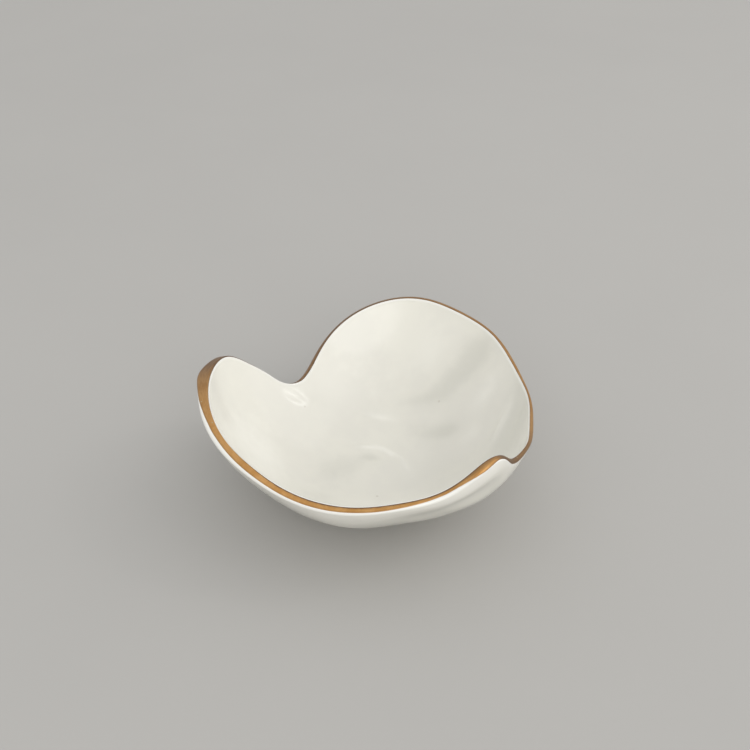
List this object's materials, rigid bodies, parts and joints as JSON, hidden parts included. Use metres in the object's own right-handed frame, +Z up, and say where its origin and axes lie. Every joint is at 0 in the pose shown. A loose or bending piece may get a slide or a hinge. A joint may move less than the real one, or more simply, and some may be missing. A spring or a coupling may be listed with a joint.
{
  "type": "ring dish",
  "caption": "Heart-shaped ceramic ring dish: a hand-formed bowl with a low cleft, a pinched raised tip and a gold lustre edge, for rings and small jewellery.",
  "frame": {"origin": "middle of the flat bare foot, on the surface that the dish stands on", "axes": "+Z up; the heart's tip points along -Y and its two lobes along +Y; +X is to the right of the heart seen from above with its tip down"},
  "size_m": [0.1053, 0.1035, 0.0441],
  "materials": {
    "clay": "fine matt stoneware, bare on the foot alone",
    "white_glaze": "glossy warm-white glaze with soft finger marks under it",
    "gold_lustre": "brushed-on gold lustre, satin, thin at its edges"
  },
  "bodies": {
    "root": {"clay_body": "clay", "inside_glaze": "white_glaze", "outside_glaze": "white_glaze", "gold_rim": "gold_lustre"}
  },
  "joints": []
}
